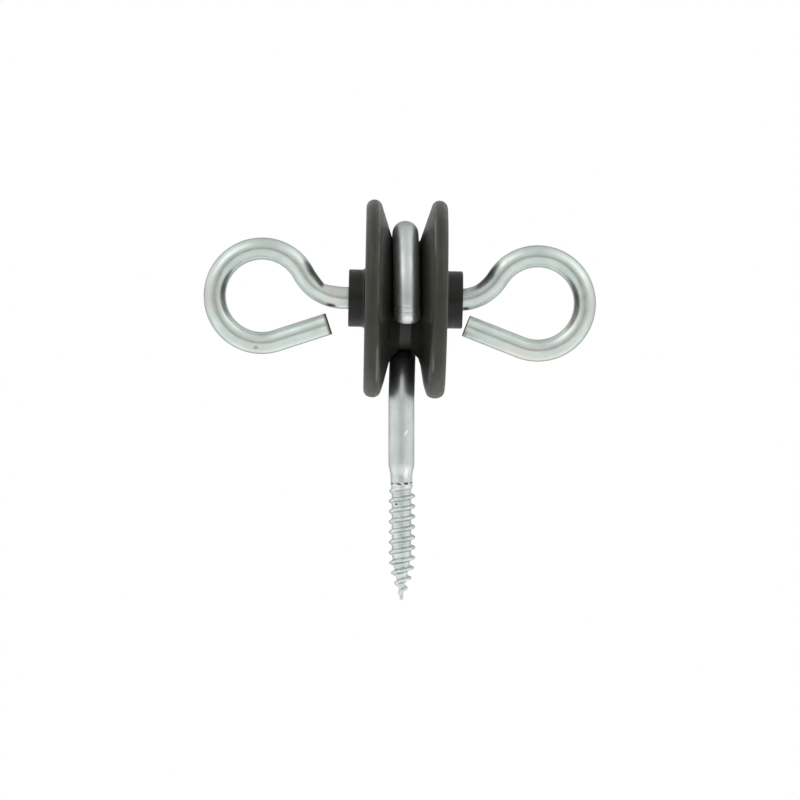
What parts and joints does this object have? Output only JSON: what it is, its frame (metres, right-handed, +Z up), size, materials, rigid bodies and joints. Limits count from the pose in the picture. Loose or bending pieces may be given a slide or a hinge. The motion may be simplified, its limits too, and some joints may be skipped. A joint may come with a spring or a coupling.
{
  "type": "fence insulator",
  "caption": "Electric-fence gate insulator: a grooved black spool held in the eye of a wood screw, with a bent zinc-plated hook on each side for gate handles.",
  "frame": {"origin": "on the wood screw's axis, where its thread starts", "axes": "+Z up the wood screw's shank, away from its point; +X along the spool's axis, from the left hook to the right hook; -Y is the front, where the screw's eye ends"},
  "size_m": [0.098, 0.0496, 0.1001],
  "materials": {
    "zinc_plate": "bright zinc plate on drawn wire, slightly blue-white, with faint tool marks",
    "black_plastic": "moulded black plastic with a satin sheen, slightly warm, with a few pale scuffs",
    "sleeve_steel": "plain turned and zinc-plated steel"
  },
  "bodies": {
    "screw": {"wood_screw_eye": "zinc_plate"},
    "spool": {"insulator_spool": "black_plastic", "threaded_sleeve": "sleeve_steel"},
    "left_hook": {"left_hook": "zinc_plate"},
    "right_hook": {"right_hook": "zinc_plate"}
  },
  "joints": [
    {"name": "spool_spin", "type": "hinge", "parent": "screw", "child": "spool", "pos_m": [0.00102, 0, 0.0445], "axis": [0.9998, 0.0105, -0.0183], "continuous": true},
    {"name": "left_hook_turn", "type": "hinge", "parent": "spool", "child": "left_hook", "pos_m": [0.00102, 0, 0.0445], "axis": [0.9998, 0.0105, -0.0183], "range_deg": [-180, 180]},
    {"name": "right_hook_turn", "type": "hinge", "parent": "spool", "child": "right_hook", "pos_m": [0.00102, 0, 0.0445], "axis": [0.9998, 0.0105, -0.0183], "range_deg": [-180, 180]}
  ]
}
